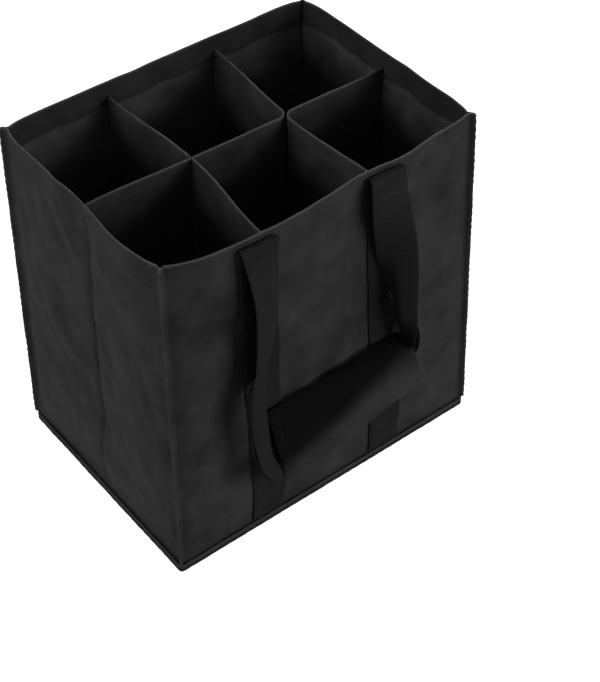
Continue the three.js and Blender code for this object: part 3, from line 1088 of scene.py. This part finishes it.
def handle_stops(strap_out):
    hang = 2 * top_fold_radius
    left_top, right_top = left_strap(top_fold_height), right_strap(top_fold_height)
    left_out = float(strap_out(left_top, top_fold_height)) + hang
    right_out = float(strap_out(right_top, top_fold_height)) + hang
    in_grip = []
    for share in (0.12, 0.32, 0.52, 0.72, 0.9):
        x = between(grip_start, grip_end, share)
        in_grip.append((tuple(folded_edge(x)), tuple(grip_down(x)), 84))
    return [
        ((left_top, left_out, top_fold_height), (0, -1, 0), 0),
        ((-64.5, 14.2, 270), (-0.25, -0.97, 0), 0),
        ((-64, 16, 250), (-0.38, -0.92, 0), 0),
        ((-65, 17, 230), (-0.44, -0.9, 0), 0),
        ((-66.3, 17.6, 208), (-0.48, -0.88, 0), 3),
        ((-68.5, 18.3, 187), (-0.55, -0.84, 0), 10),
        ((-71.5, 20, 169), (-0.74, -0.67, 0), 34),
        ((-73, 21.5, 153), (-0.92, -0.38, 0), 62),
        ((-72.5, 22.5, 136), (-0.98, -0.2, 0), 77),
        ((-72, 22.8, 121), (-0.97, 0, -0.2), 82),
        ((-71, 22.8, 107), (-0.9, 0.15, -0.4), 83),
        ((-68.8, 23, 96), (-0.6, 0.25, -0.76), 84),
        (tuple(folded_edge(grip_start)), (-0.1, 0.36, -0.93), 84),
        *in_grip,
        (tuple(folded_edge(grip_end)), (0.1, 0.86, -0.5), 83),
        ((60.3, 12.5, 134.5), (0.45, 0.83, -0.33), 68),
        ((57.5, 13.5, 141.5), (0.8, 0.58, -0.12), 54),
        ((54.5, 15.5, 150), (0.96, 0.28, 0), 45),
        ((51.3, 18, 162), (0.99, -0.05, 0), 40),
        ((48.6, 20, 176), (0.97, -0.24, 0), 37),
        ((48.0, 20.5, 188), (0.94, -0.35, 0), 30),
        ((48.3, 20, 200), (0.86, -0.5, 0), 18),
        ((49.5, 18, 216), (0.7, -0.71, 0), 7),
        ((49.3, 15.5, 235), (0.5, -0.87, 0), 0),
        ((47.5, 13.5, 255), (0.27, -0.96, 0), 0),
        ((46.3, 12, 272), (0.08, -1, 0), 0),
        ((right_top, right_out, top_fold_height), (0, -1, 0), 0),
    ]


# %% [markdown]
# A curve through the stops has to be even where stops are close together and where they
# are far apart. A centripetal spline does that: it runs through every stop and makes no
# loops. It is sampled finely and then cut into rows 0.6 mm apart, six rows to a rib.


# %% A centripetal spline, and even rows along it
def spline(stops, per_stop):
    stops = np.asarray(stops, float)
    padded = np.concatenate([[2 * stops[0] - stops[1]], stops, [2 * stops[-1] - stops[-2]]])
    points = []
    gaps = np.sqrt(np.linalg.norm(np.diff(padded, axis=0), axis=1))
    gaps[gaps < 1e-4] = 1
    for k in range(1, len(padded) - 2):
        a, b, c, d = padded[k - 1:k + 3]
        t1, t2, t3 = np.cumsum(gaps[k - 1:k + 2])
        for t in between(t1, t2, np.arange(per_stop) / per_stop):
            ab = a + (b - a) * t / t1
            bc = b + (c - b) * (t - t1) / (t2 - t1)
            cd = c + (d - c) * (t - t2) / (t3 - t2)
            abc = ab + (bc - ab) * t / t2
            bcd = bc + (cd - bc) * (t - t1) / (t3 - t1)
            points.append(abc + (bcd - abc) * (t - t1) / (t2 - t1))
    return np.array(points + [stops[-1]])


def even_rows(points, others, step):
    """The points, and other values along them, again at equal steps of length."""
    run = run_along(points)
    places = np.linspace(0, run[-1], round(run[-1] / step) + 1)
    return [at_places(places, run, values) for values in (points, *others)]


across_steps = np.array([-1, -0.975, -0.86, -0.68, -0.48, -0.26, -0.09,
                         0.09, 0.26, 0.48, 0.68, 0.86, 0.975, 1])
middle_column = 7


# %% Rows of the webbing: sewn, turned over at the top, and free
def sewn_rows(strap, side, heights, angles, strap_out):
    middles, facings = [], []
    for z, angle in zip(heights, angles):
        column = strap(z) + side * across_steps * webbing_width / 2
        distance = strap_out(column, z) + top_fold_radius * (1 - math.cos(angle))
        lifted = z + top_fold_radius * math.sin(angle)
        middles.append(np.stack([column, distance, 0 * column + lifted], -1))
        facing = np.array([0, math.cos(angle), -math.sin(angle)])
        facings.append(np.tile(facing, (len(across_steps), 1)))
    return np.array(middles), np.array(facings)


def free_rows(strap_out):
    stops = handle_stops(strap_out)
    per_stop = 24
    line = spline([middle for middle, _, _ in stops], per_stop)
    looks = spline([facing for _, facing, _ in stops], per_stop)
    counts = np.arange(len(stops))
    bends = np.interp(np.arange(len(line)) / per_stop, counts, [bend for _, _, bend in stops])
    line, looks, bends = even_rows(line, (looks, bends[:, None]), row_step)
    run = unit(np.gradient(line, axis=0))
    across = unit(np.cross(run, looks))
    face = unit(np.cross(across, run))
    angle = np.radians(bends)
    a = across_steps[None, :, None]
    roundness = 0.06
    lift = (np.sqrt(a**2 + roundness**2) - roundness) * np.sin(angle)[:, None]
    spread = a * np.cos(angle)[:, None]
    middles = line[:, None] + (webbing_width / 2) * (
        across[:, None] * spread + face[:, None] * lift
    )
    slope = a / np.sqrt(a**2 + roundness**2) * np.sin(angle)[:, None]
    facings = unit(
        face[:, None] * np.maximum(np.cos(angle)[:, None], 0.05) - across[:, None] * slope
    )
    return middles[1:-1], facings[1:-1]


def handle_rows(wall_sign, wall):
    def strap_out(x, z):
        face = out(wall, wall_sign * np.asarray(x, float), z)
        return face - tip_y(z) + webbing_half + strap_lift

    rows_up = np.arange(band_height + 0.7, top_fold_height, row_step)
    flat = np.zeros(len(rows_up))
    bends = np.linspace(0, math.pi, 14)[1:]
    tops = np.full(len(bends), top_fold_height)
    runs = [
        sewn_rows(left_strap, -1, rows_up, flat, strap_out),
        sewn_rows(left_strap, -1, tops, bends, strap_out),
        free_rows(strap_out),
        sewn_rows(right_strap, 1, tops, bends[::-1], strap_out),
        sewn_rows(right_strap, 1, rows_up[::-1], flat, strap_out),
    ]
    counts = [len(middles) for middles, _ in runs]
    middles = np.concatenate([middles for middles, _ in runs])
    facings = np.concatenate([facings for _, facings in runs])
    return middles, facings, np.cumsum([0] + counts)


def smoothed(rows, reach):
    """A moving average along the strap, which takes the steps out of its joins."""
    padded = np.concatenate([rows[:1]] * reach + [rows] + [rows[-1:]] * reach)
    window = 2 * reach + 1
    return sum(padded[k:k + len(rows)] for k in range(window)) / window


# %% [markdown]
# The thickness of the webbing carries its weave. Weft cords lie every 3.8 mm and stand up
# as straight ribs across it, with a narrow groove between two. The two long edges are
# thinner and round.

# %% Make the two handles
handles = []
for wall, sign, place, turn, _ in SIDES:
    middles, facings, marks = handle_rows(sign, wall)
    middles = smoothed(middles, 4)
    facings = unit(smoothed(facings, 6))
    middle_line = middles[:, middle_column]
    run = run_along(middle_line)
    rib = np.abs(np.sin(math.pi * run / rib_pitch))[:, None] ** 0.7
    edge_thin = 1 - 0.55 * np.abs(across_steps)[None, :] ** 14
    half = (webbing_half - 0.18 + 0.26 * rib) * edge_thin
    strap_faces = [middles + side * facings * half[..., None] for side in (1, -1)]
    loop = np.concatenate([strap_faces[0], strap_faces[1][:, ::-1]], axis=1)
    row_number = np.arange(len(middles))
    free = (row_number >= marks[2]) & (row_number < marks[3])
    # Painted shade on the free webbing right of the grip's middle, low down by the grip.
    right_leg_shade = free * (middle_line[:, 0] > 0) * (1 - ease(middle_line[:, 2], 146, 168))
    piece = swept(f"handle_{wall}", place(loop), webbing, handled=0.8 * right_leg_shade[:, None])
    fitted(piece, "webbing", f"{wall}_webbing")
    handles.append((strap_faces, facings[:, middle_column], marks, place, turn))
    print(piece.name, "is", round(float(run[-1])), "mm of webbing")

# %% [markdown]
# ## The grips
#
# Each grip is a sleeve of cloth with a soft filling, closed by a flat sewn edge along its
# lower side. It is fuller in the middle than at its two long edges. Its ends are turned in
# and sewn, so they stand a little proud, and the webbing pulls short diagonal wrinkles
# into it where it goes in. Its upper part is painted darker, most of it at the left end:
# painted shade, as the light comes from low down. Its right end and lower edge carry a
# painted highlight.

# %% Make the two grips
sleeve_cloth_thickness = 1.1
sleeve_around = 44
flange_width, flange_half = 4.0, 0.85
end_seam = 6.8
grip_columns = np.concatenate([
    [grip_start, grip_start + 0.5, grip_start + 1.2],
    np.linspace(grip_start + 2.5, grip_end - 2.5, 72),
    [grip_end - 1.2, grip_end - 0.5, grip_end],
])


def sleeve_section(x, inset, seed):
    """A closed outline of the sleeve at x: the outer face, or the lining at an inset."""
    upper, lower = grip_upper(x), grip_lower(x)
    down = grip_down(x)
    proud = unit(np.cross(np.array([1.0, 0, 0]), down))
    half = np.linalg.norm(upper - lower) / 2
    share = float(grip_share(x))
    from_end = min(x - grip_start, grip_end - x)
    hem = 0.15 * (1 - ease(from_end, 5.2, 6.2)) - 0.25 * hump(from_end, end_seam, 0.9)
    rounding = 0.5 * (1 - ease(from_end, 0, 1.2))
    closing = 1.3 * (1 - ease(x - grip_start, 0, 20))
    fullness = between(5.3, 7.3, share) - closing - inset + (0 if inset else hem - rounding)
    angle = np.linspace(0, 2 * math.pi, sleeve_around, endpoint=False)
    across = np.sign(np.cos(angle)) * np.abs(np.cos(angle)) ** 0.85
    lens = np.maximum(1 - np.abs(across) ** 2.6, 0) ** 0.62
    reach = across * (half - inset)
    thick = fullness * lens
    flange = flange_half * ease(reach, half - flange_width - 1.5, half - flange_width)
    thick = np.maximum(thick, flange if inset == 0 else 0)
    if inset:
        reach = np.minimum(reach, half - flange_width - inset)
    side = np.sign(np.sin(angle))
    side[np.abs(np.sin(angle)) < 1e-6] = 0
    place = reach / half
    near_end = 1 - ease(from_end, 8, 44)
    wrinkle = (
        0.5 * uneven(x, reach, 21, 13, seed)
        + 0.22 * uneven(x + 0.6 * reach, reach, 7, 22, seed + 1)
        + 0.3 * near_end * np.sin((x * np.sign(share - 0.5) + 0.55 * reach) / 4.2)
        * hump(place, 0.1, 0.5)
    )
    thick = thick + (0 if inset else 1) * wrinkle * lens * ease(from_end, 5, 12)
    centre = between(upper, lower, 0.5)
    return centre + reach[:, None] * down + (side * thick)[:, None] * proud


for wall, _, place, _, seed in SIDES:
    outer = [sleeve_section(x, 0, seed) for x in grip_columns]
    lining = [sleeve_section(x, sleeve_cloth_thickness, seed) for x in grip_columns[::-1]]
    # Painted highlight at the sleeve's right end and along its lower edge.
    end_highlight = 0.3 * (1 - ease(grip_end - grip_columns, 0.4, 1.6))[:, None]
    round_share = np.arange(sleeve_around) / sleeve_around
    seam_highlight = 0.5 * hump(np.minimum(round_share, 1 - round_share), 0, 0.02)
    outer_fold = np.maximum(end_highlight, seam_highlight[None, :])
    fold = np.concatenate([outer_fold, 0 * outer_fold])
    # Painted shade: the sleeve's upper part is painted darker, reaching further down at the left
    # end.
    from_top = (1 + np.cos(2 * math.pi * round_share))[None, :] / 2
    along_share = grip_share(grip_columns)[:, None]
    dark_to = between(0.56, 0.27, along_share**1.5)
    dark_from = between(0.92, 0.64, np.sqrt(along_share))
    upper_half = 1 - ease((from_top - dark_to) / (dark_from - dark_to), 0, 1)
    handled = np.concatenate([upper_half, upper_half[::-1]])
    sleeve = swept(
        f"grip_sleeve_{wall}", place(np.array(outer + lining)), sleeve_cloth, closed=True,
        fold=fold, handled=handled,
    )
    fitted(sleeve, "grip_fabric", f"{wall}_grip")

# %% [markdown]
# ## The stitches
#
# Black stitches on black cloth are only small glints, yet a seam without them looks
# moulded. Each stitch is a tiny arched rod whose two ends dip into the cloth. One is made
# once as a pattern of points, and then laid along every seam line with its own direction
# and facing. All stitches of one kind of seam are joined into one mesh.

# %% The pattern of one stitch
stitch_length = 2.5
stitch_pitch = 3.4
thread_radius = 0.2
rod_sides = 5
rod_stations = [(-0.5, 0.45, -0.12), (-0.25, 1.0, 0.1), (0.25, 1.0, 0.1), (0.5, 0.45, -0.12)]
rod_angles = np.linspace(0, 2 * math.pi, rod_sides, endpoint=False)
stitch_points = np.array([
    (
        t * stitch_length,
        thread_radius * wide * math.cos(a),
        lift + thread_radius * wide * math.sin(a),
    )
    for t, wide, lift in rod_stations for a in rod_angles
])
stitch_faces = [
    (i * rod_sides + j, (i + 1) * rod_sides + j,
     (i + 1) * rod_sides + (j + 1) % rod_sides, i * rod_sides + (j + 1) % rod_sides)
    for i in range(len(rod_stations) - 1) for j in range(rod_sides)
]
stitch_caps = [
    tuple(range(rod_sides)),
    tuple(range(len(stitch_points) - 1, len(stitch_points) - rod_sides - 1, -1)),
]


# %% Lay stitches along a line
def stitches_on(line, normals, pitch=stitch_pitch):
    """Centres, directions and facings of stitches at a pitch along a line of points."""
    line, normals = np.asarray(line, float), np.asarray(normals, float)
    normals = np.broadcast_to(normals, line.shape)
    run = run_along(line)
    places = np.arange(pitch / 2, run[-1], pitch)
    ahead = at_places(places + 0.5, run, line)
    behind = at_places(places - 0.5, run, line)
    facing = at_places(places, run, normals)
    return at_places(places, run, line), unit(ahead - behind), unit(facing)


def sewn(name, lines, slot, finish=thread):
    centre, along, facing = (np.concatenate(parts) for parts in zip(*lines))
    aside = unit(np.cross(facing, along))
    facing = unit(np.cross(along, aside))
    points = (
        centre[:, None]
        + stitch_points[None, :, 0:1] * along[:, None]
        + stitch_points[None, :, 1:2] * aside[:, None]
        + stitch_points[None, :, 2:3] * facing[:, None]
    )
    count = len(stitch_points)
    faces = [
        tuple(k + n * count for k in face)
        for n in range(len(centre)) for face in stitch_faces + stitch_caps
    ]
    mesh = bpy.data.meshes.new(name)
    mesh.from_pydata((points.reshape(-1, 3) * MM).tolist(), [], faces)
    print(f"{name}: {len(centre)} stitches")
    fitted(piece_of(mesh, finish), slot)


# %% Stitches round the rim, outside and inside
outward = {"front": (0, -1, 0), "right": (1, 0, 0), "back": (0, 1, 0), "left": (-1, 0, 0)}
hem_stitch = hem_start + stitch_from_edge
rim_lines = []
for wall in WALLS:
    half_width, _ = corner_of(wall, hem_stitch)
    s = np.linspace(-half_width + 6, half_width - 6, 260)
    face = out(wall, seen(wall, s), hem_stitch)
    normal = np.array(outward[wall], float)
    rim_lines.append(stitches_on(on_wall(wall, s, face, hem_stitch), normal))
    lining = face - wall_cloth(hem_stitch)
    rim_lines.append(stitches_on(on_wall(wall, s, lining, hem_stitch), -normal))
sewn("thread_rim", rim_lines, "fabric")

# %% Stitches up both sides of the four corner ridges
ridge_stitch_reach, ridge_stitch_half = 1.7, 0.78
ridge_lines = []
seam_heights = np.linspace(band_height + 4, height - 3, 200)
half_x, half_y = corner_of("front", seam_heights)
d = ridge_stitch_reach / math.sqrt(2)
for sign_x, sign_y in corner_signs.values():
    for side in (1, -1):
        p = side * ridge_stitch_half / math.sqrt(2)
        line = np.stack([
            sign_x * (half_x + d + p), sign_y * (half_y + d - p), seam_heights,
        ], -1)
        ridge_lines.append(stitches_on(line, (sign_x * side, -sign_y * side, 0)))
sewn("thread_corners", ridge_lines, "fabric")

# %% Stitches in the groove of the foot band
groove_ways = np.concatenate([band_ways, band_ways[:1]])
groove_heights = np.full(len(band_loop), groove_height)
groove_line = np.column_stack([band_loop + groove_reach * groove_ways, groove_heights])
groove_facing = np.column_stack([groove_ways, 0 * groove_heights])
sewn("thread_foot", [stitches_on(groove_line, groove_facing)], "fabric", rubbed_thread)

# %% Stitches under the turned edges of the dividers
hem_row = int(np.argmin(np.abs(divider_rows - divider_stitch)))
divider_lines = []
for faces in dividers:
    for face, other in (faces, faces[::-1]):
        line, across = face[hem_row], unit(face[hem_row] - other[hem_row])
        divider_lines.append(stitches_on(line[2:-2], across[2:-2]))
sewn("thread_dividers", divider_lines, "fabric")


# %% Stitches of the straps
# Two rows go up each sewn run. Under the top folds are nested chevrons on the left leg and
# a double line on the right one. A place on a strap is a row along it and a share from -1
# to 1 across it.
edge_share = 0.84
chevron_count, chevron_step = 4, 0.18
chevron_row, chevron_share = 20, 0.3
chevron_arms = ((-17, -0.6), (28, -0.6))
double_line_rows, double_line_share = (20, 24), 0.86


def across_face(face, row, share):
    """The point at a share from -1 to 1 across a strap's face, at a row along it."""
    row = np.clip(row, 0, len(face) - 1)
    low = np.floor(row).astype(int)
    high = np.minimum(low + 1, len(face) - 1)
    points = between(face[low], face[high], (row - low)[:, None, None])
    return np.array([
        [np.interp(s, across_steps, p[:, k]) for k in range(3)] for s, p in zip(share, points)
    ])


edge_lines, patch_lines = [], []
for (inner_side, outer_side), middle_facings, marks, place, turn in handles:
    for first, last in ((marks[0] + 6, marks[1] - 4), (marks[4] + 4, marks[5] - 6)):
        rows = np.arange(first, last, 4.0)
        for share in (-edge_share, edge_share):
            line = across_face(inner_side, rows, np.full(len(rows), share))
            edge_lines.append(stitches_on(place(line), turn(np.array([0.0, 1, 0]))))
    paths = []
    for step in range(chevron_count):
        tip = (marks[2] + chevron_row, chevron_share - chevron_step * step)
        for rows_on, share_on in chevron_arms:
            paths.append((tip, (tip[0] + rows_on, tip[1] + share_on)))
    for rows_back in double_line_rows:
        row = marks[3] - rows_back
        paths.append(((row, -double_line_share), (row, double_line_share)))
    for (row_a, share_a), (row_b, share_b) in paths:
        steps = np.linspace(0, 1, 24)
        rows = between(row_a, row_b, steps).astype(float)
        line = across_face(outer_side, rows, between(share_a, share_b, steps))
        looks = -middle_facings[np.round(rows).astype(int)]
        patch_lines.append(stitches_on(place(line), turn(looks), pitch=2.0))
sewn("thread_strap_edges", edge_lines, "webbing", dark_thread)
sewn("thread_strap_patches", patch_lines, "webbing", rubbed_thread)

# %% Stitches of the grips: round both ends and along the flat closing edge
grip_lines = []
for _, _, place, turn, seed in SIDES:
    for x in (grip_start + end_seam, grip_end - end_seam):
        ring = sleeve_section(x, 0, seed)
        ring = np.concatenate([ring, ring[:1]])[2:-2]
        looks = unit(ring - ring.mean(axis=0))
        grip_lines.append(stitches_on(place(ring), turn(looks), pitch=3.2))
    x = np.linspace(grip_start + 9, grip_end - 9, 60)
    edge = grip_lower(x) - grip_down(x) * 2.2
    proud = unit(np.cross(np.array([1.0, 0, 0]), grip_down(x)))
    for side in (1, -1):
        line = edge + side * flange_half * proud
        grip_lines.append(stitches_on(place(line), turn(side * proud)))
sewn("thread_grips", grip_lines, "grip_fabric", dark_thread)

# %% [markdown]
# ## The studio
#
# The bag stands on a plain pale floor. Three soft windows light it from low down: a wide
# one in front on the right, one on the left, and one behind on the right. The sky is
# brightest just under the horizon, as if a pale floor threw light back up. The floor and
# the backdrop themselves are only seen, and light nothing. So the upright walls get more
# light than what lies level, and the compartments are black a hand's breadth below the rim.

# %% Floor, sky and lamps
floor_finish = Finish("pale floor", {
    "Roughness": 0.9,
    "Specular IOR Level": 0.0,
    "Emission Strength": 0.9,
})
floor_cloud = floor_finish.noise(floor_finish.place(), 2)
floor_colour = floor_finish.blend(floor_cloud, (0.92, 0.92, 0.92, 1), (0.95, 0.95, 0.95, 1))
pale_floor = floor_finish.surface(Base_Color=floor_colour, Emission_Color=floor_colour)

studio_radius = 6
bpy.ops.mesh.primitive_circle_add(
    radius=studio_radius, vertices=96, fill_type="NGON", location=(0, 0, -0.0003),
)
floor = bpy.context.object
floor.name = "floor"
bpy.ops.mesh.primitive_cylinder_add(
    radius=studio_radius, depth=studio_radius, vertices=96, end_fill_type="NOTHING",
    location=(0, 0, studio_radius / 2),
)
backdrop = bpy.context.object
backdrop.name = "backdrop"
backdrop.visible_shadow = False
for staged in (floor, backdrop):
    staged.data.materials.append(pale_floor)
    staged.visible_diffuse = False
    staged.visible_glossy = False

bpy.context.scene.view_settings.view_transform = "Standard"
world = bpy.context.scene.world or bpy.data.worlds.new("studio")
bpy.context.scene.world = world
world.use_nodes = True
sky = world.node_tree.nodes
sky_links = world.node_tree.links
direction = sky.new("ShaderNodeTexCoord")
height_in_sky = sky.new("ShaderNodeSeparateXYZ")
sky_share = sky.new("ShaderNodeMapRange")
sky_share.inputs["From Min"].default_value = -1
sky_ramp = sky.new("ShaderNodeValToRGB")
sky_stops = ((0.0, 0.16), (0.46, 0.24), (0.54, 0.15), (0.66, 0.15), (0.80, 0.22))
for place, value in sky_stops[1:-1]:
    sky_ramp.color_ramp.elements.new(place)
for stop, (place, value) in zip(sky_ramp.color_ramp.elements, sky_stops):
    stop.position = place
    stop.color = (value, value, value, 1)
sky_links.new(direction.outputs["Generated"], height_in_sky.inputs[0])
sky_links.new(height_in_sky.outputs["Z"], sky_share.inputs["Value"])
sky_links.new(sky_share.outputs["Result"], sky_ramp.inputs["Fac"])
sky_links.new(sky_ramp.outputs["Color"], sky["Background"].inputs["Color"])


def lamp(name, place, target, size, power):
    light = bpy.data.lights.new(name, "AREA")
    light.shape = "RECTANGLE"
    light.size, light.size_y = size
    light.energy = power
    made = bpy.data.objects.new(name, light)
    made.location = place
    made.rotation_euler = (Vector(target) - Vector(place)).to_track_quat("-Z", "Y").to_euler()
    bpy.context.scene.collection.objects.link(made)
    print(name, "at", place, "with", power, "W")


lamp("window_front_right", (0.95, -1.9, 0.80), (0, 0, 0.25), (1.25, 0.9), 27)
lamp("window_left", (-2.1, 0.25, 1.0), (0, 0, 0.25), (0.9, 1.0), 21)
lamp("window_back_right", (1.6, 1.7, 0.8), (0, 0, 0.15), (0.9, 0.9), 26)
